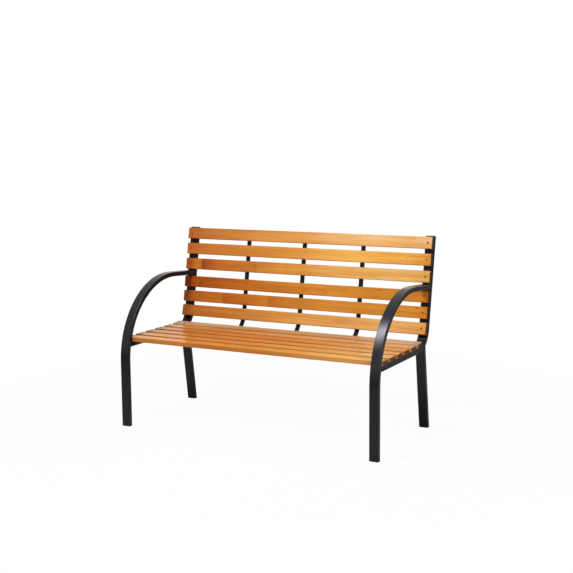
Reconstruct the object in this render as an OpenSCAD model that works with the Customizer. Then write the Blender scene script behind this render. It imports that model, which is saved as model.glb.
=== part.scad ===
// Garden bench: two bent steel side frames carrying wooden back and seat slats.
// Every side frame is drawn in side view, x to the back and y up, and stood up by side_view().
// Left and right are as seen by someone who stands in front of the bench.

/* [Overall size] */
// Length over the slats, which end flush with the side frames
bench_length = 1220; // [900:10:1800]
// Height of the front slat's top edge above the ground
seat_height = 388; // [300:1:480]

/* [Steel tube] */
// Width of the flat tube, across the bench
tube_width = 40; // [30:1:50]
// Depth of the flat tube, in the plane of the side frame
tube_depth = 20; // [16:1:26]
// Wall of the tube
tube_wall = 1.5; // [1:0.1:2.5]
// Outer radius of the tube's long corners
tube_corner = 3; // [2.6:0.2:6]

/* [Side frame] */
// Centreline radius of the bend from front leg to armrest
arm_bend = 343; // [270:1:420]
// Centreline radius of the bend from seat rail to back post
rail_bend = 94; // [80:1:125]
// Backward lean of the front leg
leg_lean = 1.5; // [0:0.25:4]
// Fall of the armrest towards the back post
arm_fall = 5; // [0:0.5:9]
// Fall of the seat towards the back
seat_slope = 0.9; // [0:0.1:5]
// Lean of the back from upright
recline = 11.6; // [8:0.1:20]
// Backward rake of the rear leg
rear_rake = 6.5; // [0:0.5:12]
// Angle round the rail bend at which the rear leg is welded on
rear_leg_at = 29; // [20:1:40]
// Room between the front leg and the front slat
front_room = 5; // [4:0.5:20]
// Radius of a weld bead
bead = 2.5; // [1.5:0.1:3.5]

/* [Slats] */
// Width of a slat
slat_width = 51; // [40:1:62]
// Thickness of a slat
slat_thick = 20; // [12:0.5:25]
// Radius of a slat's long edges
slat_edge = 3; // [1:0.5:5]
// Gap between two seat slats
seat_gap = 21.5; // [10:0.5:35]
// Gap between two of the three highest back slats
back_gap = 20.5; // [8:0.5:35]
// Room above and below the armrest where it passes between the third and fourth back slats
arm_room = 6; // [3.5:0.5:15]
// Gap between two of the three lowest back slats
low_gap = 17; // [8:0.5:35]
// Part of the rear seat slat's width that lies over the rail bend
seat_over_bend = 28.5; // [10:0.5:40]
// Part of the lowest back slat's width that lies over the rail bend
back_over_bend = 27; // [10:0.5:40]
// Length of back post above the top slat
post_margin = 3; // [0:1:40]

/* [Middle supports] */
// Width of the flat steel bar
support_width = 20; // [12:1:40]
// Thickness of the flat steel bar
support_thick = 4; // [3:0.5:6]
// Distance between neighbouring supports
support_pitch = 287; // [150:1:350]
// Distance of each end of a bar from the edge of the last slat
support_inset = 17; // [2:1:25]

/* [Fasteners] */
// Diameter of the frame bolts
bolt_d = 5; // [4:0.5:6]
// Diameter of the bolt heads
bolt_head_d = 9; // [8:0.5:14]
// Diameter of the wood screws in the middle supports
screw_d = 3.6; // [3:0.1:4.5]
// Clearance on the diameter of every drilled hole
hole_clearance = 0.5; // [0.2:0.1:1]

/* [Plastic parts] */
// Height of the glide under each foot
glide_height = 5; // [3:0.5:10]
// Height of the plug on each back post
plug_height = 3; // [2:0.5:8]
// Length of glide or plug inside its tube
insert_length = 18; // [10:1:40]

/* [Hidden] */
steel = "#1d1d1f";
black_plastic = "#151516";
dark_bolt = "#4a3222";
zinc = "#8d9094";
wood_tones = ["#e0a878", "#dc9a50", "#d98f48", "#c9772f", "#cb7f3c", "#d98d45"];

round_fn = 60;
small_fn = 36;
corner_fn = 24;
bend_fn = 180;
// a piece that runs on into its neighbour goes this far inside it
run_in = 1;
// a straight's section is this much slimmer than its bend's, on every face
slimmer = 0.03;
// stand-off of a straight piece that rests on a curved one
curve_clear = 0.3;
// stand-off of a tube end from the tube that it is welded to
weld_gap = 0.1;
// play of a plastic insert inside its tube, on each side
insert_play = 0.3;
insert_wall = 1.5;
// depth and height of the step round the foot of a glide and the top of a plug
plastic_step = 1;
nut_thick = 4;
nut_flats = 8;
nut_collar = 1.2;
bolt_head_h = 1.4;
bolt_tip = 1;
socket_flats = 3;
socket_depth = 1.6;
screw_head_d = 7.5;
screw_head_h = 1.8;
screw_bite = 11;

frame_x = bench_length / 2 - tube_width / 2;
slat_count = 6;
seat_pitch = slat_width + seat_gap;

// ---- seat and back line: the face of rail and post that the slats rest on ----
// front of the first slat on the rail, as [back, up]
seat_front = [0, seat_height - slat_thick * cos(seat_slope)];
rail_dir = [cos(seat_slope), -sin(seat_slope)];
rail_up = [sin(seat_slope), cos(seat_slope)];
post_dir = [sin(recline), cos(recline)];
post_out = [-cos(recline), sin(recline)];
inner_bend = rail_bend - tube_depth / 2;
bend_turn = 90 - recline + seat_slope;
bend_from = (slat_count - 1) * seat_pitch + slat_width - seat_over_bend;
rail_end = seat_front + bend_from * rail_dir;
bend_centre = rail_end + inner_bend * rail_up;
post_start = bend_centre - inner_bend * post_out;

// heights of the back slats' lower edges above post_start, top slat first
arm_gap = tube_depth + 2 * arm_room;
low_edge_6 = -back_over_bend;
low_edge_5 = low_edge_6 + slat_width + low_gap;
low_edge_4 = low_edge_5 + slat_width + low_gap;
low_edge_3 = low_edge_4 + slat_width + arm_gap;
low_edge_2 = low_edge_3 + slat_width + back_gap;
low_edge_1 = low_edge_2 + slat_width + back_gap;
back_edges = [low_edge_1, low_edge_2, low_edge_3, low_edge_4, low_edge_5, low_edge_6];
post_length = low_edge_1 + slat_width + post_margin;

// ---- front leg and armrest: a centreline that ends in the gap between two back slats ----
arm_end = post_start + (low_edge_3 - arm_gap / 2) * post_dir + slat_thick / 2 * post_out;
arm_dir = [cos(arm_fall), -sin(arm_fall)];
arm_up = [sin(arm_fall), cos(arm_fall)];
leg_dir = [sin(leg_lean), cos(leg_lean)];
leg_out = [-cos(leg_lean), sin(leg_lean)];
// the leg's back face passes this point, just ahead of the front slat
leg_pass = seat_front + [-front_room, slat_thick / 2];
// the bend's centre lies one radius below the armrest and one inner radius behind leg_pass
centre_rise = (arm_end - leg_pass) * arm_up - arm_bend;
centre_reach = sqrt(pow(arm_bend - tube_depth / 2, 2) - pow(centre_rise, 2));
arm_centre = leg_pass + centre_rise * arm_up + centre_reach * arm_dir;
leg_top = arm_centre + arm_bend * leg_out;
leg_length = leg_top.y / cos(leg_lean);
leg_foot = leg_top - leg_length * leg_dir;
arm_start = arm_centre + arm_bend * arm_up;
arm_turn = 90 - leg_lean + arm_fall;

// ---- rear leg: passes through a point on the underside of the rail bend ----
rear_dir = [-sin(rear_rake), cos(rear_rake)];
outer_bend = rail_bend + tube_depth / 2;
rear_joint = bend_centre + outer_bend * [sin(rear_leg_at), -cos(rear_leg_at)];
rear_length = rear_joint.y / cos(rear_rake);
rear_foot = rear_joint - rear_length * rear_dir;

// the bench is centred from the feet's front faces to the tops of the back posts
front_most = leg_foot.x - tube_depth / 2 / cos(leg_lean);
back_most = (post_start + (post_length + plug_height - plastic_step) * post_dir - tube_depth * post_out).x;
middle = (front_most + back_most) / 2;

// A slat that spans the inside of the bend touches it with one long edge and the straight with the
// other. reach is the slat's width over the straight. Gives [along, off, tilt] of its resting face.
function spanning(reach) =
    let (edge_radius = inner_bend - slat_edge,
         span = slat_width - 2 * slat_edge,
         start = reach - slat_edge,
         tilt = asin((span * span + start * start) / (2 * span * norm([start, edge_radius])))
                - atan2(start, edge_radius))
    [span / 2 * cos(tilt) + slat_edge * sin(tilt) - start,
     span / 2 * sin(tilt) + slat_edge * (1 - cos(tilt)) + curve_clear,
     tilt];

// Room under the middle of a spanning slat, square to its resting face
function room_under(span) =
    let (from = [span[0], span[1] - inner_bend],
         down = [sin(span[2]), -cos(span[2])],
         along = from * down)
    sqrt(along * along - from * from + inner_bend * inner_bend) - along;

seat_span = spanning(slat_width - seat_over_bend);
back_span = spanning(slat_width - back_over_bend);

// A place is [back, up, angle, room]: the middle of a slat's resting face and the room under it
function seat_place(i) =
    i < slat_count - 1
    ? let (p = seat_front + (i * seat_pitch + slat_width / 2) * rail_dir) [p.x, p.y, -seat_slope, 0]
    : let (p = rail_end + seat_span[0] * rail_dir + seat_span[1] * rail_up)
      [p.x, p.y, seat_span[2] - seat_slope, room_under(seat_span)];
function back_place(i) =
    i < slat_count - 1
    ? let (p = post_start + (back_edges[i] + slat_width / 2) * post_dir) [p.x, p.y, 90 - recline, 0]
    : let (p = post_start - back_span[0] * post_dir + back_span[1] * post_out)
      [p.x, p.y, 90 - recline - back_span[2], room_under(back_span)];
seat_places = [for (i = [0 : slat_count - 1]) seat_place(i)];
back_places = [for (i = [0 : slat_count - 1]) back_place(i)];
support_places = [for (i = [-1 : 1]) i * support_pitch];

// ---- placing ----
module side_view() {
    translate([0, -middle, 0])
        rotate([90, 0, 90])
            children();
}

module at_side(side) {
    side_view()
        translate([0, 0, side * frame_x])
            children();
}

// from a slat's place, y points out of the slat's face
module on_place(place) {
    translate([place.x, place.y, 0])
        rotate(place.z)
            children();
}

// turns a piece drawn upright so that it points along y
module along_y(from, across = 0) {
    translate([0, from, across])
        rotate([-90, 0, 0])
            children();
}

// ---- sections and paths ----
module rounded(size, radius) {
    square([size.x - 2 * radius, size.y], center = true);
    square([size.x, size.y - 2 * radius], center = true);
    for (x = [-1, 1], y = [-1, 1])
        translate([x * (size.x / 2 - radius), y * (size.y / 2 - radius)])
            circle(radius, $fn = corner_fn);
}

module tube_outline(inset = 0) {
    rounded([tube_depth - 2 * inset, tube_width - 2 * inset], max(tube_corner - inset, 0.5));
}

// the tube's room, for cutting other pieces back to its face
module tube_room() {
    square([tube_depth + 2 * weld_gap, 2 * tube_width], center = true);
}

module tube_section(slim = 0) {
    difference() {
        tube_outline(slim);
        tube_outline(tube_wall - slim);
    }
}

// a straight length of section from a point, at an angle
module straight(from, angle, length) {
    translate([from.x, from.y, 0])
        rotate(angle)
            rotate([90, 0, 90])
                linear_extrude(length)
                    children();
}

// a bend of section round a centre
module bent(centre, radius, from_angle, turn) {
    translate([centre.x, centre.y, 0])
        rotate(from_angle)
            rotate_extrude(angle = turn, $fn = bend_fn)
                translate([radius, 0])
                    children();
}

module leg_straight() {
    straight(leg_foot - tube_depth * leg_dir, 90 - leg_lean, leg_length + tube_depth + run_in)
        children();
}

module arm_curve() {
    bent(arm_centre, arm_bend, 90 - arm_fall, arm_turn)
        children();
}

module arm_straight() {
    reach = (arm_end - arm_start) * arm_dir + slat_thick / 2 + tube_depth / 2;
    straight(arm_start - run_in * arm_dir, -arm_fall, reach + run_in)
        children();
}

module rail_straight() {
    // far enough forward to be cut back to the leg
    lead = front_room + 0.75 * tube_depth;
    straight(rail_end - tube_depth / 2 * rail_up - (bend_from + lead) * rail_dir, -seat_slope,
             bend_from + lead + run_in)
        children();
}

module rail_curve() {
    bent(bend_centre, rail_bend, -90 - seat_slope, bend_turn)
        children();
}

module post_straight() {
    straight(post_start - tube_depth / 2 * post_out - run_in * post_dir, 90 - recline, post_length + run_in)
        children();
}

module rear_straight() {
    straight(rear_foot - tube_depth * rear_dir, 90 + rear_rake, rear_length + 1.6 * tube_depth)
        children();
}

// everything above or below a level, round one side frame
module above(level) {
    reach = 2 * seat_height + 2 * bench_length;
    translate([-reach / 2, level, -tube_width])
        cube([reach, reach, 2 * tube_width]);
}

module below(level) {
    reach = 2 * seat_height + 2 * bench_length;
    translate([-reach / 2, level - reach, -tube_width])
        cube([reach, reach, 2 * tube_width]);
}

// ---- steel side frames ----
module leg_and_arm(side) {
    color(steel)
        at_side(side)
            difference() {
                union() {
                    leg_straight() tube_section(slimmer);
                    arm_curve() tube_section();
                    arm_straight() tube_section(slimmer);
                }
                post_straight() tube_room();
                below(glide_height);
            }
}

module rail_and_post(side) {
    color(steel)
        at_side(side)
            difference() {
                union() {
                    rail_straight() tube_section(slimmer);
                    rail_curve() tube_section();
                    post_straight() tube_section(slimmer);
                }
                arm_curve() tube_room();
                leg_straight() tube_room();
                for (place = concat(seat_places, back_places))
                    on_place(place)
                        along_y(-2 * tube_depth)
                            cylinder(h = 2.5 * tube_depth, d = bolt_d + hole_clearance, $fn = small_fn);
            }
}

module rear_leg(side) {
    color(steel)
        at_side(side)
            difference() {
                rear_straight() tube_section();
                rail_curve() tube_room();
                below(glide_height);
            }
}

// A bead is a rod in the corner between two tubes, with both tubes taken away
module bead_rod(point) {
    translate([point.x, point.y, 0])
        cylinder(h = tube_width - 2 * tube_corner, r = bead, center = true, $fn = small_fn);
}

// distance along a line from a point inside a circle to the circle
function to_circle(point, dir, centre, radius) =
    let (from = point - centre, along = from * dir)
    -along + sqrt(along * along - from * from + radius * radius);

module weld_beads(side) {
    half = tube_depth / 2;
    color(steel)
        at_side(side)
            difference() {
                for (s = [-1, 1]) {
                    // armrest to the face of the post
                    arm_face = arm_end + s * half * arm_up;
                    bead_rod(arm_face - ((arm_face - post_start) * post_out) / (arm_dir * post_out) * arm_dir);
                    // rail to the inside of the leg's bend
                    rail_face = seat_front + (s - 1) * half * rail_up;
                    bead_rod(rail_face - to_circle(rail_face, -rail_dir, arm_centre, arm_bend - half) * rail_dir);
                    // rear leg to the underside of the rail's bend
                    rear_face = rear_joint + s * half * [rear_dir.y, -rear_dir.x];
                    bead_rod(rear_face - to_circle(rear_face, -rear_dir, bend_centre, outer_bend) * rear_dir);
                }
                arm_curve() tube_room();
                arm_straight() tube_room();
                rail_straight() tube_room();
                rail_curve() tube_room();
                post_straight() tube_room();
                rear_straight() tube_room();
            }
}

// ---- middle supports: flat bar bent to the line of rail and post ----
module bar_section(slim = 0) {
    square([support_thick - 2 * slim, support_width - 2 * slim], center = true);
}

module middle_support(across) {
    half = support_thick / 2;
    color(steel)
        side_view()
            translate([0, 0, across])
                difference() {
                    union() {
                        straight(seat_front + support_inset * rail_dir - half * rail_up, -seat_slope,
                                 bend_from - support_inset + run_in)
                            bar_section(slimmer);
                        bent(bend_centre, inner_bend + half, -90 - seat_slope, bend_turn)
                            bar_section();
                        straight(post_start - half * post_out - run_in * post_dir, 90 - recline,
                                 low_edge_1 + slat_width - support_inset + run_in)
                            bar_section(slimmer);
                    }
                    for (place = concat(seat_places, back_places))
                        on_place(place)
                            along_y(-3 * support_thick - 3)
                                cylinder(h = 4 * support_thick + 3, d = screw_d + hole_clearance, $fn = small_fn);
                }
}

// ---- slats ----
module slat(place, tone) {
    color(wood_tones[tone])
        side_view()
            on_place(place)
                difference() {
                    linear_extrude(bench_length, center = true)
                        translate([0, slat_thick / 2])
                            rounded([slat_width, slat_thick], slat_edge);
                    for (side = [-1, 1])
                        along_y(-1, side * frame_x)
                            cylinder(h = slat_thick + 2, d = bolt_d + hole_clearance, $fn = small_fn);
                    for (across = support_places)
                        along_y(-1, across)
                            cylinder(h = screw_bite + 2, d = screw_d + hole_clearance, $fn = small_fn);
                }
}

// ---- plastic parts ----
module insert(from, angle, length) {
    straight(from, angle, length)
        difference() {
            tube_outline(tube_wall + insert_play);
            tube_outline(tube_wall + insert_play + insert_wall);
        }
}

// a stepped sole cut level with the ground, and a collar up inside the leg
module glide(side, foot, dir, angle) {
    below_ground = foot - tube_depth * dir;
    color(black_plastic)
        at_side(side) {
            intersection() {
                straight(below_ground, angle, 3 * tube_depth)
                    tube_outline();
                above(plastic_step);
                below(glide_height);
            }
            intersection() {
                straight(below_ground, angle, 3 * tube_depth)
                    tube_outline(plastic_step);
                above(0);
                below(glide_height);
            }
            intersection() {
                insert(below_ground, angle, tube_depth + glide_height + insert_length);
                above(glide_height - run_in);
            }
        }
}

module post_plug(side) {
    top = post_start + post_length * post_dir - tube_depth / 2 * post_out;
    color(black_plastic)
        at_side(side) {
            straight(top, 90 - recline, plug_height - plastic_step)
                tube_outline();
            straight(top, 90 - recline, plug_height)
                tube_outline(plastic_step);
            insert(top - insert_length * post_dir, 90 - recline, insert_length + run_in);
        }
}

// ---- fasteners ----
// a button-head bolt that stands on y = 0 and points down
module bolt(length) {
    dome = (pow(bolt_head_d / 2, 2) + pow(bolt_head_h, 2)) / (2 * bolt_head_h);
    rotate([-90, 0, 0])
        difference() {
            union() {
                intersection() {
                    translate([0, 0, bolt_head_h - dome])
                        sphere(dome, $fn = round_fn);
                    cylinder(h = bolt_head_h, d = bolt_head_d + 1, $fn = round_fn);
                }
                translate([0, 0, -length])
                    cylinder(h = length + 0.5, d = bolt_d, $fn = small_fn);
            }
            translate([0, 0, bolt_head_h - socket_depth])
                cylinder(h = socket_depth + 1, d = socket_flats / cos(30), $fn = 6);
        }
}

// a lock nut that hangs under y = 0
module nut() {
    rotate([90, 0, 0])
        difference() {
            union() {
                cylinder(h = nut_thick - nut_collar, d = nut_flats / cos(30), $fn = 6);
                cylinder(h = nut_thick, d = nut_flats - 1, $fn = small_fn);
            }
            translate([0, 0, -1])
                cylinder(h = nut_thick + 2, d = bolt_d + hole_clearance / 2, $fn = small_fn);
        }
}

// a pan-head wood screw, its head under y = 0 and its point upwards
module wood_screw(length) {
    point = 3;
    rotate([-90, 0, 0]) {
        translate([0, 0, -screw_head_h])
            cylinder(h = screw_head_h, d = screw_head_d, $fn = small_fn);
        cylinder(h = length - point, d = screw_d, $fn = small_fn);
        translate([0, 0, length - point])
            cylinder(h = point, d1 = screw_d, d2 = 0.6, $fn = small_fn);
    }
}

function curve_room(place) = place[3] > 0 ? place[3] + 2 * curve_clear : 0;

module bolts(places) {
    color(dark_bolt)
        side_view()
            for (place = places, side = [-1, 1])
                on_place(place)
                    translate([0, slat_thick, side * frame_x])
                        bolt(slat_thick + curve_room(place) + tube_depth + nut_thick + bolt_tip);
}

module nuts(places) {
    color(zinc)
        side_view()
            for (place = places, side = [-1, 1])
                on_place(place)
                    translate([0, -curve_room(place) - tube_depth, side * frame_x])
                        nut();
}

module support_screws(places) {
    color(zinc)
        side_view()
            for (place = places, across = support_places)
                on_place(place)
                    translate([0, -curve_room(place) - support_thick, across])
                        wood_screw(support_thick + curve_room(place) + screw_bite);
}

leg_and_arm(-1);  // left_leg_and_arm
leg_and_arm(1);  // right_leg_and_arm
rail_and_post(-1);  // left_rail_and_post
rail_and_post(1);  // right_rail_and_post
rear_leg(-1);  // left_rear_leg
rear_leg(1);  // right_rear_leg
weld_beads(-1);  // left_weld_beads
weld_beads(1);  // right_weld_beads
middle_support(support_places[0]);  // left_middle_support
middle_support(support_places[1]);  // centre_middle_support
middle_support(support_places[2]);  // right_middle_support
slat(back_places[0], 0);  // back_slat_1
slat(back_places[1], 1);  // back_slat_2
slat(back_places[2], 2);  // back_slat_3
slat(back_places[3], 3);  // back_slat_4
slat(back_places[4], 4);  // back_slat_5
slat(back_places[5], 5);  // back_slat_6
slat(seat_places[0], 3);  // seat_slat_1
slat(seat_places[1], 5);  // seat_slat_2
slat(seat_places[2], 1);  // seat_slat_3
slat(seat_places[3], 4);  // seat_slat_4
slat(seat_places[4], 0);  // seat_slat_5
slat(seat_places[5], 2);  // seat_slat_6
glide(-1, leg_foot, leg_dir, 90 - leg_lean);  // left_front_glide
glide(1, leg_foot, leg_dir, 90 - leg_lean);  // right_front_glide
glide(-1, rear_foot, rear_dir, 90 + rear_rake);  // left_rear_glide
glide(1, rear_foot, rear_dir, 90 + rear_rake);  // right_rear_glide
post_plug(-1);  // left_post_plug
post_plug(1);  // right_post_plug
bolts(back_places);  // back_bolts
bolts(seat_places);  // seat_bolts
nuts(back_places);  // back_nuts
nuts(seat_places);  // seat_nuts
support_screws(back_places);  // back_support_screws
support_screws(seat_places);  // seat_support_screws
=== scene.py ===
"""Garden bench: two bent steel side frames, varnished slats and the fixings that hold them."""
import math
import bpy
import bmesh
from mathutils import Matrix, Vector


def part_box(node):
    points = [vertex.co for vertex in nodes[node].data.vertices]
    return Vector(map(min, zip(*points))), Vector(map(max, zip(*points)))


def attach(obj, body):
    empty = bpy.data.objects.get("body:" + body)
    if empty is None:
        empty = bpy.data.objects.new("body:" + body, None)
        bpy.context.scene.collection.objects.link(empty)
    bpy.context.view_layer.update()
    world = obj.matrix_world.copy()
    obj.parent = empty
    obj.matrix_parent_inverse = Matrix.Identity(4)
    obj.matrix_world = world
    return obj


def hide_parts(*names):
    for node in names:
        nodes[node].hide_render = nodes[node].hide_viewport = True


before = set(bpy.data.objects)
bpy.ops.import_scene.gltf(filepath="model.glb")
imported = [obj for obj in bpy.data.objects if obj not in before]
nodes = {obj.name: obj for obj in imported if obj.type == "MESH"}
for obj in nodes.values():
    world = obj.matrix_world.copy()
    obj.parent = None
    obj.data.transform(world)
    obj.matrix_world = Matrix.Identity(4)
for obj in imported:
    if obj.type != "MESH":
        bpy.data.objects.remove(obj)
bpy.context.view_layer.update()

# ---------------------------------------------------------------------------
# Side frames. Each is three lengths of 40 by 20 mm flat steel tube: a front leg bent over into the
# armrest, a seat rail bent up into the back post, and a straight rear leg. They are welded together
# and powder coated in satin black, which leaves a fine orange peel.
# ---------------------------------------------------------------------------


class Socket:
    """A shader value that takes part in Python sums: each sum adds a Math node."""

    def __init__(self, tree, output):
        self.tree = tree
        self.output = output

    def node(self, kind, settings=None, inputs=None, output=0):
        """Adds a node, makes its settings, then gives its sockets their values or links."""
        made = self.tree.nodes.new("ShaderNode" + kind)
        for name, setting in (settings or {}).items():
            if name == "stops":
                ramp = made.color_ramp
                while len(ramp.elements) < len(setting):
                    ramp.elements.new(1.0)
                for element, (at, colour) in zip(ramp.elements, setting):
                    element.position = at
                    element.color = (*colour, 1.0)
            else:
                setattr(made, name, setting)
        for name, given in (inputs or {}).items():
            if isinstance(given, Socket):
                self.tree.links.new(given.output, made.inputs[name])
            else:
                made.inputs[name].default_value = given
        return Socket(self.tree, made.outputs[output])

    def math(self, operation, *others, last=False):
        """A Math node on this value and others; last puts this value after them."""
        values = (*others, self) if last else (self, *others)
        return self.node("Math", {"operation": operation}, dict(enumerate(values)))

    def __add__(self, other):
        return self.math("ADD", other)

    def __radd__(self, other):
        return self.math("ADD", other, last=True)

    def __sub__(self, other):
        return self.math("SUBTRACT", other)

    def __rsub__(self, other):
        return self.math("SUBTRACT", other, last=True)

    def __mul__(self, other):
        return self.math("MULTIPLY", other)

    def __rmul__(self, other):
        return self.math("MULTIPLY", other, last=True)

    def __truediv__(self, other):
        return self.math("DIVIDE", other)

    def __rtruediv__(self, other):
        return self.math("DIVIDE", other, last=True)

    def __pow__(self, other):
        return self.math("POWER", other)

    def __rpow__(self, other):
        return self.math("POWER", other, last=True)

    def __abs__(self):
        return self.math("ABSOLUTE")

    def rise(self, low, high):
        """0 below low and 1 above high, with a smooth step between them."""
        return self.node("MapRange", {"interpolation_type": "SMOOTHSTEP"},
                         {"Value": self, "From Min": low, "From Max": high})

    def between(self, first, second):
        """A colour between two colours, at the place that this value gives."""
        return self.node(
            "Mix", {"data_type": "RGBA", "blend_type": "MIX"}, {0: self, 6: first, 7: second}, 2)

    def tinted(self, tint):
        """This colour under a stain."""
        return self.node(
            "Mix", {"data_type": "RGBA", "blend_type": "MULTIPLY"}, {0: 1.0, 6: self, 7: tint}, 2)

    def part(self, axis):
        """One coordinate of this point."""
        return self.node("SeparateXYZ", None, {0: self}, "XYZ".index(axis))

    def stretched(self, *size):
        """This point, scaled on each axis. A pattern read there runs long where the scale is small."""
        return self.node("VectorMath", {"operation": "MULTIPLY"}, {0: self, 1: size})

    def noise(self, scale, detail=2.0, roughness=0.5):
        """Noise read at this point, from 0 to 1, with scale cells to the metre."""
        return self.node(
            "TexNoise", None, {"Vector": self, "Scale": scale, "Detail": detail, "Roughness": roughness})

    def bump(self, distance, strength=1.0):
        """A surface raised by this value times a distance in metres."""
        return self.node("Bump", None, {"Height": self, "Distance": distance, "Strength": strength})

    def feed(self, shader, name):
        """Links this value to a socket of a shader."""
        self.tree.links.new(self.output, shader.inputs[name])


def new_material(name, **constants):
    """A material, its shader and a point of the piece in metres. Constants go to the shader's sockets."""
    material = bpy.data.materials.new(name)
    material.use_nodes = True
    tree = material.node_tree
    shader = tree.nodes["Principled BSDF"]
    for key, given in constants.items():
        value = (*given, 1.0) if isinstance(given, tuple) else given
        shader.inputs[key.replace("_", " ")].default_value = value
    return material, shader, Socket(tree, None).node("TexCoord", output="Object")


def dress(node_name, material):
    """Gives a CAD node a better material."""
    slots = nodes[node_name].data.materials
    slots.clear()
    slots.append(material)


def powder_coat(name, black, gloss, shine):
    """Satin black powder coat: cured in small swells, with a few duller patches."""
    material, shader, place = new_material(
        name, Specular_IOR_Level=shine, Specular_Tint=(0.93, 0.91, 1.0))
    patch = place.noise(9.0, 3.0)
    peel = place.noise(620.0, 1.0)
    speck = place.noise(2600.0, 0.0)
    dark = tuple(0.72 * part for part in black)
    patch.rise(0.35, 0.7).between((*dark, 1), (*black, 1)).feed(shader, "Base Color")
    (gloss + 0.07 * patch + 0.03 * peel).feed(shader, "Roughness")
    (peel + 0.25 * speck).bump(0.00006, 0.5).feed(shader, "Normal")
    return material


frame_coat = powder_coat("frame_powder_coat", (0.0022, 0.002, 0.0018), 0.19, 0.32)
# rails and posts get a copy of the frame coat that reflects less: painted shade where they sit behind the
# slats
shaded_post_coat = powder_coat("shaded_post_powder_coat", (0.0022, 0.002, 0.0018), 0.24, 0.13)
for side in ("left", "right"):
    dress(side + "_leg_and_arm", frame_coat)
    dress(side + "_rail_and_post", shaded_post_coat)
    dress(side + "_rear_leg", frame_coat)


def solids(node_name):
    """The points of each separate solid in a CAD node."""
    shape = bmesh.new()
    shape.from_mesh(nodes[node_name].data)
    shape.transform(nodes[node_name].matrix_world)
    bmesh.ops.remove_doubles(shape, verts=shape.verts, dist=0.000001)
    seen, found = set(), []
    for start in shape.verts:
        if start not in seen:
            seen.add(start)
            solid = [start]
            for point in solid:
                for other in (edge.other_vert(point) for edge in point.link_edges):
                    if other not in seen:
                        seen.add(other)
                        solid.append(other)
            found.append([point.co.copy() for point in solid])
    shape.free()
    return found


# Weld beads: pushed along the corner in small steps, so that they carry a ripple every 2 mm, with the
# powder coat run over them. Each lies across the tubes, 34 mm long. Two join the armrest to the back
# post, two the seat rail's front end to the front leg, and two the rear leg's top to the rail.
bead_radius, ripples, waver = 0.00145, 17.0, 0.00012
steps, sides = 103, 12
for side in ("left", "right"):
    shape = bmesh.new()
    rods = sorted(solids(side + "_weld_beads"), key=lambda points: min(point.y for point in points))
    for which, points in enumerate(rods[-2:] + rods[:-2]):
        low, high = (Vector([pick(along) for along in zip(*points)]) for pick in (min, max))
        rings = []
        for step in range(steps):
            share = step / (steps - 1)
            end = min(1.0, 0.12 + 14.0 * min(share, 1.0 - share)) ** 0.5  # the bead thins at both ends
            ripple = 0.13 * abs(math.sin(math.pi * (ripples * share + 0.3 * which)))
            radius = bead_radius * end * (1.0 + ripple + 0.05 * math.sin(23.0 * share + which))
            centre = (low + high) / 2 + Vector((
                (high.x - low.x) * (share - 0.5),
                waver * math.sin(31.0 * share + 2 * which),
                waver * math.cos(27.0 * share + which)))
            around = [math.tau * turn / sides for turn in range(sides)]
            rings.append([
                shape.verts.new(centre + Vector((0.0, radius * math.cos(angle), radius * math.sin(angle))))
                for angle in around])
        for ring, following in zip(rings, rings[1:]):
            for at in range(sides):
                beyond = (at + 1) % sides
                face = shape.faces.new((ring[at], ring[beyond], following[beyond], following[at]))
                face.smooth = True
        shape.faces.new(rings[0][::-1])
        shape.faces.new(rings[-1])
    bmesh.ops.recalc_face_normals(shape, faces=shape.faces)
    mesh = bpy.data.meshes.new(side + "_rippled_beads")
    shape.to_mesh(mesh)
    shape.free()
    beads = bpy.data.objects.new(side + "_rippled_beads", mesh)
    bpy.context.scene.collection.objects.link(beads)
    mesh.materials.append(frame_coat)
    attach(beads, "root")
    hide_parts(side + "_weld_beads")

# ---------------------------------------------------------------------------
# Middle supports. Three 20 by 4 mm flat bars, bent to the line of rail and post and coated like the
# frames. They run behind the back slats and under the seat slats and keep them level with each other.
# ---------------------------------------------------------------------------
# a copy of the frame coat that reflects less: painted shade where the bars sit behind and under the slats
shaded_bar_coat = powder_coat("shaded_bar_powder_coat", (0.004, 0.004, 0.0045), 0.28, 0.15)
for place_name in ("left", "centre", "right"):
    dress(place_name + "_middle_support", shaded_bar_coat)

# ---------------------------------------------------------------------------
# Slats. Twelve planed softwood boards, 51 by 20 mm, sawn from anywhere in the log, so each cuts the
# growth rings at its own angle, and some are glued end to end from shorter lengths. Stained amber and
# varnished to a gloss. The end faces are painted near black: partly end grain that drinks more stain,
# partly painted shade.
# ---------------------------------------------------------------------------
half_length, half_width, half_thick = 0.61, 0.0255, 0.010


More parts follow.
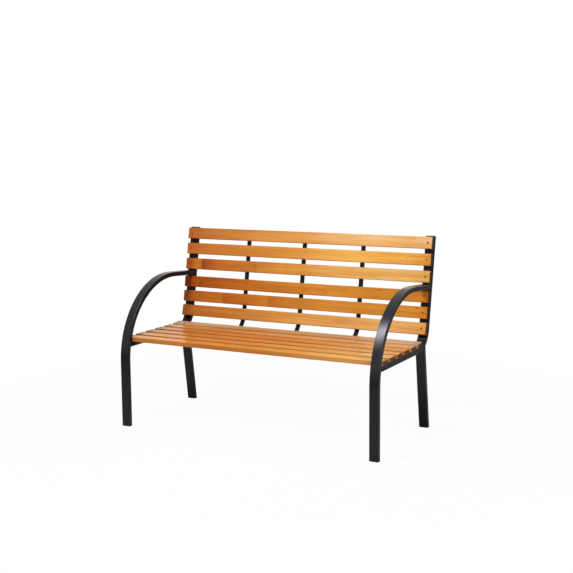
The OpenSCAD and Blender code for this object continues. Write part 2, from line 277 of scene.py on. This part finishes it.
def timber(name, lean, light, dark, pith, ring, gloss, pieces_and_shadow, knots, shift, shade_and_sheen):
    """Varnished wood: rings round a pith that runs nearly along the board, fibres, joints and knots.

    lean is the board's angle from level. light and dark are the palest and the deepest grain. pith gives
    the log's centre, across and above the board's middle, and ring the growth of a year. gloss is the
    weight of the varnish. The first tint list is (x, tint) where the board is glued from shorter pieces or
    its wood changes, and on one board it paints an armrest's shadow. The second is (x, tint) along the
    whole board and paints in shade and sheen: mostly darker towards the left end and paler towards the
    right. Knots are (x, across, size). shift moves the board to another place in the wood's pattern.
    """
    low, high = (Vector(corner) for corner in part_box(name))
    material, shader, place = new_material(
        "varnished_" + name, Coat_Roughness=0.16, Coat_IOR=1.5, Specular_IOR_Level=0.1)
    board = place.node("Mapping", {"vector_type": "TEXTURE"}, {
        "Vector": place, "Location": (low + high) / 2, "Rotation": (math.radians(lean), 0, 0)})
    moved = board.node("VectorMath", {"operation": "ADD"}, {0: board, 1: (shift, 0.3 * shift, 0.7 * shift)})
    along, across, above = board.part("X"), board.part("Y"), board.part("Z")
    # rings: distance from the pith, which wanders along the board
    wander = moved.stretched(1.3, 9.0, 9.0).noise(1.0, 2.0)
    ripple = moved.stretched(6.0, 60.0, 60.0).noise(1.0, 2.0)
    aside, up = across - pith[0] + 0.015 * along, above - pith[1] + 0.03 * (wander - 0.5)
    radius = (aside * aside + up * up).math("SQRT") + 0.004 * ripple
    knot_mark = None
    for at, beside, size in knots:
        far = (((along - at) / 1.7) ** 2.0 + (across - beside) ** 2.0).math("SQRT")
        core = 1.0 - far.rise(0.35 * size, size)
        halo = 1.0 - far.rise(size, 4.0 * size)
        radius = radius + 0.008 * halo
        knot_mark = core if knot_mark is None else knot_mark.math("MAXIMUM", core)
    late = (radius / ring).math("FRACT") ** 2.5
    # fibres and broad streaks along the board
    fibre = moved.stretched(9.0, 700.0, 700.0).noise(1.0, 3.0, 0.6)
    streak = moved.stretched(2.2, 75.0, 75.0).noise(1.0, 3.0, 0.55)
    broad = moved.stretched(3.2, 14.0, 14.0).noise(1.0, 2.0)
    mark = 0.42 * late + 0.9 * (fibre - 0.5) + 1.7 * (streak - 0.5) + 1.7 * (broad - 0.5) + 0.28
    colour = mark.math("MINIMUM", 1.0).math("MAXIMUM", 0.0).between((*light, 1), (*dark, 1))
    share = (along + half_length) / (2 * half_length)

    def tints(stops):
        """A tint that changes along the board."""
        placed = [((at + half_length) / (2 * half_length), tint) for at, tint in stops]
        return share.node("ValToRGB", {"stops": placed}, {"Fac": share})

    # glued pieces and changes in the wood, and on back slat 4 the painted shadow of the left armrest
    if pieces_and_shadow:
        colour = colour.tinted(tints(pieces_and_shadow))
    if knot_mark is not None:
        colour = (0.6 * knot_mark).between(colour, (0.22, 0.045, 0.006, 1))
    # painted shade and sheen along the board
    colour = colour.tinted(tints(shade_and_sheen))
    # the eased long edges and the last few millimetres before each end are darker
    edge = abs(across).rise(half_width - 0.004, half_width + 0.0003).math(
        "MAXIMUM", 0.8 * abs(along).rise(half_length - 0.0065, half_length - 0.0005))
    colour = (0.75 * edge).between(colour, colour.tinted((0.72, 0.5, 0.4, 1)))
    facing = abs(place.node("NewGeometry", output="Normal").part("X")).rise(0.6, 0.9)
    # the end faces are painted near black: partly end grain that drinks more stain, partly painted shade
    colour = (0.9 * facing).between(colour, (0.05, 0.019, 0.012, 1))
    colour.feed(shader, "Base Color")
    (0.42 + 0.2 * streak + 0.2 * facing).feed(shader, "Roughness")
    (gloss - 0.6 * gloss * facing).feed(shader, "Coat Weight")
    (late + 0.6 * fibre).bump(0.00012, 0.35).feed(shader, "Normal")
    return material


# lean, palest grain, deepest grain, pith, width of a ring, weight of the varnish
boards = {
    "back_slat_1": (78.4, (0.903, 0.590, 0.289), (0.782, 0.384, 0.100), (0.01, -0.06), 0.004, 0.5),
    "back_slat_2": (78.4, (0.896, 0.481, 0.098), (0.729, 0.307, 0.028), (0.03, -0.03), 0.0035, 0.2),
    "back_slat_3": (78.4, (0.930, 0.581, 0.197), (0.709, 0.332, 0.061), (-0.02, 0.04), 0.0045, 0.35),
    "back_slat_4": (78.4, (0.780, 0.336, 0.039), (0.574, 0.199, 0.015), (0.0, -0.05), 0.003, 0.08),
    "back_slat_5": (78.4, (0.782, 0.349, 0.045), (0.575, 0.205, 0.016), (-0.03, -0.025), 0.0035, 0.08),
    "back_slat_6": (73.8, (0.885, 0.479, 0.157), (0.676, 0.294, 0.054), (0.015, 0.07), 0.004, 0.3),
    "seat_slat_1": (-0.9, (0.849, 0.464, 0.104), (0.648, 0.288, 0.048), (0.02, -0.05), 0.004, 0.5),
    "seat_slat_2": (-0.9, (0.811, 0.425, 0.082), (0.624, 0.273, 0.036), (-0.02, -0.04), 0.0035, 0.5),
    "seat_slat_3": (-0.9, (0.789, 0.364, 0.068), (0.581, 0.220, 0.030), (0.0, 0.06), 0.0045, 0.5),
    "seat_slat_4": (-0.9, (0.746, 0.357, 0.083), (0.538, 0.212, 0.034), (0.03, 0.02), 0.003, 0.5),
    "seat_slat_5": (-0.9, (0.879, 0.481, 0.166), (0.619, 0.279, 0.074), (-0.01, -0.07), 0.004, 0.5),
    "seat_slat_6": (4.3, (0.735, 0.481, 0.277), (0.519, 0.279, 0.121), (0.01, 0.05), 0.0035, 0.5)}
knots = {
    "back_slat_2": [(0.503, 0.004, 0.003)],
    "back_slat_3": [(-0.235, 0.006, 0.005)],
    "back_slat_4": [(0.388, 0.014, 0.005), (-0.52, -0.004, 0.006)],
    "back_slat_5": [(0.563, 0.018, 0.006)],
    "seat_slat_6": [(0.25, 0.012, 0.004)]}
# painted shade and sheen along a board, at each x: mostly darker towards the left end, where less light
# falls, and paler towards the right, where the varnish's sheen is painted in
plain = (1.0, 1.0, 1.0)
back_shade_and_sheen = [(-0.6, (0.6, 0.32, 0.08)), (-0.3, (0.75, 0.55, 0.26)), (0.0, (0.88, 0.77, 0.5)),
              (0.15, (0.93, 0.88, 0.75)), (0.4, plain), (0.6, (0.95, 0.86, 0.65))]
low_shade_and_sheen = [(-0.6, (0.6, 0.32, 0.25)), (-0.3, (0.75, 0.55, 0.48)), (0.0, (0.86, 0.76, 0.8)),
             (0.3, plain), (0.5, plain), (0.6, (0.85, 0.7, 0.5))]
rosy_shade_and_sheen = [(-0.6, (0.5, 0.19, 0.03)), (-0.3, (0.69, 0.43, 0.11)), (0.0, (0.8, 0.6, 0.27)),
              (0.15, (0.9, 0.79, 0.58)), (0.4, plain), (0.6, (0.91, 0.82, 0.65))]
rear_shade_and_sheen = [(-0.6, (0.98, 0.95, 0.9)), (-0.3, (0.93, 0.85, 0.65)), (0.0, (0.87, 0.72, 0.44)),
              (0.3, (0.92, 0.76, 0.58)), (0.5, plain)]
seat_shade_and_sheen = [(-0.6, (0.85, 0.68, 0.38)), (-0.3, (0.83, 0.62, 0.34)), (0.0, (0.88, 0.7, 0.4)),
              (0.15, (0.9, 0.77, 0.55)), (0.3, (0.95, 0.87, 0.83)), (0.45, plain)]
shades_and_sheens = {
    "back_slat_1": rosy_shade_and_sheen, "back_slat_2": low_shade_and_sheen, "back_slat_3": rosy_shade_and_sheen,
    "back_slat_4": low_shade_and_sheen, "back_slat_5": low_shade_and_sheen, "back_slat_6": back_shade_and_sheen,
    "seat_slat_6": rear_shade_and_sheen}
# lengths glued end to end, and other changes in the wood, at each x; on back slat 4, the painted shadow
# of the left armrest over its left end
joints_and_arm_shadow = {
    "back_slat_3": [(-0.58, (0.95, 0.78, 0.6)), (-0.557, (1.3, 1.6, 0.7)), (-0.528, (1.28, 1.45, 0.5)),
                    (-0.519, (0.68, 0.36, 0.12)), (-0.5, (0.77, 0.5, 0.25)), (-0.44, (0.98, 0.88, 0.5)),
                    (-0.26, (0.88, 0.74, 0.7)), (-0.235, (0.85, 0.7, 0.6)), (-0.21, (0.97, 0.9, 0.85)),
                    (-0.18, (0.93, 0.88, 0.8)), (-0.115, (1.03, 1.05, 1.0)), (-0.1, (1.07, 1.17, 1.3)),
                    (-0.08, (1.03, 1.06, 1.1)), (0.0, plain)],
    # painted shadow of the left armrest over this board's left end
    "back_slat_4": [(-0.6, (0.74, 0.56, 0.55)), (-0.54, (0.82, 0.67, 0.6)), (-0.47, (0.85, 0.72, 0.5)),
                    (-0.4, (0.93, 0.82, 0.75)), (-0.3, plain)],
    "back_slat_5": [(-0.6, (1.05, 1.15, 1.3)), (-0.5, (1.14, 1.34, 1.5)), (-0.402, (1.18, 1.4, 1.6)),
                    (-0.392, (0.99, 0.96, 0.85)), (-0.25, (1.03, 1.04, 1.0)), (-0.175, (1.11, 1.22, 1.27)),
                    (-0.162, (1.09, 1.2, 1.25)), (-0.153, (0.92, 0.87, 0.84)), (-0.05, plain)]}


def eased_board(name, lean, bow):
    """The finished board: long edges rounded to 3 mm, ends eased by hand to 4 mm, and a little bow."""
    low, high = (Vector(corner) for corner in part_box(name))
    turned = Matrix.Translation((low + high) / 2) @ Matrix.Rotation(math.radians(lean), 4, "X")
    edge, ease = 0.003, 0.004
    points, bends = 5, 5  # points round each long edge, and steps over each end
    turns = [math.radians(90.0 / bends * step) for step in range(bends + 1)]
    ends = [(half_length - ease * (1 - math.cos(turn)), ease * (1 - math.sin(turn))) for turn in turns]
    stations = [(-x, inset) for x, inset in ends]
    stations += [(0.05 * step, 0.0) for step in range(-11, 12)]
    stations += ends[::-1]
    shape = bmesh.new()
    rings = []
    for x, inset in stations:
        bent = bow * (1.0 - (x / half_length) ** 2)
        ring = []
        for corner, (right, top) in enumerate(((1, 1), (-1, 1), (-1, -1), (1, -1))):
            for step in range(points):
                turn = math.radians(90.0 * (corner + step / (points - 1)))
                ring.append(shape.verts.new(turned @ Vector((
                    x,
                    right * (half_width - inset - edge) + edge * math.cos(turn) + bent,
                    top * (half_thick - inset - edge) + edge * math.sin(turn)))))
        rings.append(ring)
    for station, (ring, following) in enumerate(zip(rings, rings[1:])):
        for at in range(len(ring)):
            beyond = (at + 1) % len(ring)
            face = shape.faces.new((ring[at], ring[beyond], following[beyond], following[at]))
            rounded = at % points != points - 1
            face.smooth = rounded or station < bends or station >= len(rings) - 1 - bends
    shape.faces.new(rings[0])
    shape.faces.new(rings[-1])
    bmesh.ops.recalc_face_normals(shape, faces=shape.faces)
    mesh = bpy.data.meshes.new("eased_" + name)
    shape.to_mesh(mesh)
    shape.free()
    board = bpy.data.objects.new("eased_" + name, mesh)
    bpy.context.scene.collection.objects.link(board)
    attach(board, "root")
    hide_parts(name)
    return mesh


bows = {"back_slat_4": -0.0015}
for index, (name, board) in enumerate(boards.items()):
    finish = timber(
        name, *board, pieces_and_shadow=joints_and_arm_shadow.get(name, ()), knots=knots.get(name, ()), shift=1.37 * index,
        shade_and_sheen=shades_and_sheens.get(name, seat_shade_and_sheen))
    eased_board(name, board[0], bows.get(name, 0.0)).materials.append(finish)

# ---------------------------------------------------------------------------
# Plastic parts. Moulded black glides close the four feet and plugs close the tops of the two posts;
# each has a collar that is pushed into its tube. The mould leaves a fine matt texture.
# ---------------------------------------------------------------------------
moulding, shader, place = new_material("moulded_plastic", Specular_IOR_Level=0.35)
grain = place.noise(1500.0, 2.0)
scuff = place.noise(60.0, 4.0)
scuff.rise(0.45, 0.75).between((0.009, 0.009, 0.010, 1), (0.02, 0.02, 0.021, 1)).feed(shader, "Base Color")
(0.5 + 0.15 * scuff).feed(shader, "Roughness")
grain.bump(0.00005, 0.6).feed(shader, "Normal")
for name in nodes:
    if name.endswith(("glide", "plug")):
        dress(name, moulding)

# ---------------------------------------------------------------------------
# Fasteners. Socket bolts, bronzed in the back and touched up with stain in the seat, hold each slat to
# rail and post with a zinc plated lock nut behind the tube. Zinc plated wood screws with a stamped cross
# come through the middle supports from behind.
# ---------------------------------------------------------------------------


def plating(name, bright, dull, roughness, metal=1.0):
    """A plated or lacquered fastener: a bright finish with a duller bloom."""
    material, shader, place = new_material(name, Metallic=metal, Specular_IOR_Level=0.2)
    bloom = place.noise(900.0, 3.0)
    bloom.rise(0.35, 0.7).between((*bright, 1), (*dull, 1)).feed(shader, "Base Color")
    (roughness + 0.2 * bloom).feed(shader, "Roughness")
    place.noise(2500.0, 1.0).bump(0.00003, 0.4).feed(shader, "Normal")
    return material


bronze = plating("bronzed_bolt", (0.24, 0.05, 0.012), (0.17, 0.035, 0.009), 0.5, 0.1)
tinted = plating("stain_coloured_bolt", (0.42, 0.14, 0.03), (0.32, 0.1, 0.022), 0.5, 0.1)
zinc = plating("zinc_plate", (0.62, 0.62, 0.6), (0.42, 0.43, 0.44), 0.25)


def wood_screw(shape, head, into, length):
    """A pan-head screw: a low dome with a stamped cross, and a rolled thread that tapers to a point.

    Its profile is in millimetres: the radius at each depth from the top of the head, and how far the
    thread's crest stands out there.
    """
    head_depth, core, crest_height, pitch = 2.0, 1.25, 0.5, 1.8
    taper, tip = 4.0, 0.4
    cross_half_width, cross_reach, cross_depth, cross_cone = 0.5, 2.1, 1.1, 2.6
    crest_width = 0.28  # of the pitch, on each side of the crest
    sides, step_down = 32, 0.45
    beside = Vector((1.0, 0.0, 0.0))
    upward = into.cross(beside)
    rings = []
    dome = (
        (0.0, 0.02), (0.25, 0.02), (0.5, 0.02), (0.8, 0.03), (1.1, 0.04), (1.4, 0.07), (1.7, 0.1),
        (2.0, 0.15), (2.5, 0.27), (3.0, 0.5), (3.4, 0.8), (3.62, 1.15), (3.7, 1.5), (3.7, 1.95),
        (3.5, head_depth))
    profile = [(radius, depth, 0.0) for radius, depth in dome]
    for step in range(int((length * 1000 - head_depth - tip) / step_down) + 1):
        depth = head_depth + step_down * step
        narrowing = min(1.0, (length * 1000 - depth) / taper + 0.1)
        profile.append((core * narrowing, depth, crest_height * narrowing))
    for radius, depth, crest in profile:
        ring = []
        for step in range(sides):
            turn = math.tau * step / sides
            across, along = abs(radius * math.cos(turn)), abs(radius * math.sin(turn))
            stamped = min(across, along) < cross_half_width and radius < cross_reach and not crest
            deep = depth + (cross_depth * (1.0 - radius / cross_cone) if stamped else 0.0)
            spiral = (depth / pitch - step / sides) % 1.0
            reach = radius + crest * max(0.0, 1.0 - abs(spiral - 0.5) / crest_width)
            sideways = beside * (reach * math.cos(turn)) + upward * (reach * math.sin(turn))
            ring.append(shape.verts.new(head + (into * deep + sideways) / 1000))
        rings.append(ring)
    for ring, following in zip(rings, rings[1:]):
        for at in range(sides):
            beyond = (at + 1) % sides
            face = shape.faces.new((ring[at], ring[beyond], following[beyond], following[at]))
            face.smooth = ring is not rings[0]
    shape.faces.new(rings[-1])


for place_name, head in (("back", bronze), ("seat", tinted)):
    dress(place_name + "_bolts", head)
    dress(place_name + "_nuts", zinc)
    shape = bmesh.new()
    for points in solids(place_name + "_support_screws"):
        middle = sum(points, Vector()) / len(points)
        nearest = min(boards, key=lambda name: (
            (Vector(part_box(name)[0]) + Vector(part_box(name)[1])) / 2 - middle).yz.length)
        into = Matrix.Rotation(math.radians(boards[nearest][0]), 3, "X") @ Vector((0.0, 0.0, 1.0))
        depths = [into.dot(point) for point in points]
        cap = [point for point, depth in zip(points, depths) if depth < min(depths) + 0.00005]
        wood_screw(shape, sum(cap, Vector()) / len(cap), into, max(depths) - min(depths))
    bmesh.ops.remove_doubles(shape, verts=shape.verts, dist=0.000001)
    bmesh.ops.recalc_face_normals(shape, faces=shape.faces)
    mesh = bpy.data.meshes.new(place_name + "_cross_head_screws")
    shape.to_mesh(mesh)
    shape.free()
    screws = bpy.data.objects.new(place_name + "_cross_head_screws", mesh)
    bpy.context.scene.collection.objects.link(screws)
    mesh.materials.append(zinc)
    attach(screws, "root")
    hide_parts(place_name + "_support_screws")

# ---------------------------------------------------------------------------
# Studio: a white floor that keeps the bench's shadow, white surroundings, five soft boxes, and a camera
# at chest height in front of the bench, off towards the right frame.
# ---------------------------------------------------------------------------
scene = bpy.context.scene
scene.view_settings.view_transform = "Standard"

floor_mesh = bpy.data.meshes.new("floor")
reach = 30.0
floor_mesh.from_pydata(
    [(-reach, -reach, 0), (reach, -reach, 0), (reach, reach, 0), (-reach, reach, 0)], [], [(0, 1, 2, 3)])
floor = bpy.data.objects.new("floor", floor_mesh)
scene.collection.objects.link(floor)
pale, shader, place = new_material(
    "pale_floor", Base_Color=(0.88, 0.88, 0.88), Roughness=0.9, Specular_IOR_Level=0.1)
glow = place.node("Emission", None, {"Color": (1, 1, 1, 1), "Strength": 1.0})
seen = place.node("LightPath", output="Is Camera Ray")
far = place.node("VectorMath", {"operation": "LENGTH"}, {0: place}, "Value")
# the camera sees an even glow, with a little of the lit floor and its shadow mixed in round the bench
lit = Socket(place.tree, shader.outputs["BSDF"])
mixed = place.node("MixShader", None, {0: seen * (0.96 + 0.04 * far.rise(0.9, 2.0)), 1: lit, 2: glow})
mixed.feed(place.tree.nodes["Material Output"], "Surface")
floor_mesh.materials.append(pale)

world = bpy.data.worlds.new("surroundings")
scene.world = world
world.use_nodes = True
sky = world.node_tree.nodes["Background"]
sky.inputs["Color"].default_value = (1, 1, 1, 1)
by_camera, by_gloss, by_glass = (
    Socket(world.node_tree, None).node("LightPath", output=ray)
    for ray in ("Is Camera Ray", "Is Glossy Ray", "Is Transmission Ray"))
clear = (by_camera + by_gloss + by_glass).math("MINIMUM", 1.0)
surround = 0.13
(surround + (1.0 - surround) * clear).feed(sky, "Strength")


def soft_box(name, at, aim, size, power):
    """A soft box lamp that looks from one point at another, its size in metres and its power in watts."""
    lamp_data = bpy.data.lights.new(name, "AREA")
    lamp_data.shape = "RECTANGLE"
    lamp_data.size, lamp_data.size_y = size
    lamp_data.energy = power
    lamp = bpy.data.objects.new(name, lamp_data)
    lamp.matrix_world = (
        Matrix.Translation(at) @ (Vector(aim) - Vector(at)).to_track_quat("-Z", "Y").to_matrix().to_4x4())
    scene.collection.objects.link(lamp)


soft_box("key_box", (-0.44, -1.25, 2.6), (0.5, -0.15, 0.48), (0.26, 1.6), 56.0)
soft_box("sheen_box", (-1.45, -4.4, 1.75), (0.2, 0.2, 0.55), (1.3, 1.3), 2.5)
soft_box("side_box", (2.4, -1.6, 1.6), (0.4, 0.1, 0.5), (1.2, 1.2), 20.0)
soft_box("rear_box", (-0.6, 3.6, 1.6), (0.0, 0.2, 0.5), (1.4, 1.2), 16.0)
soft_box("top_box", (1.2, 1.0, 2.8), (0.3, 0.0, 0.4), (1.2, 1.0), 10.0)

camera_data = bpy.data.cameras.new("camera")
camera = bpy.data.objects.new("camera", camera_data)
scene.collection.objects.link(camera)
scene.camera = camera
camera_data.sensor_width = 36.0
camera_data.lens = 69.70
yaw, down, roll = 28.800, 9.112, -1.207
camera.matrix_world = (
    Matrix.Translation((2.2917, -4.0700, 1.3534))
    @ Matrix.Rotation(math.radians(yaw), 4, "Z")
    @ Matrix.Rotation(math.radians(90 - down), 4, "X")
    @ Matrix.Rotation(math.radians(roll), 4, "Z"))
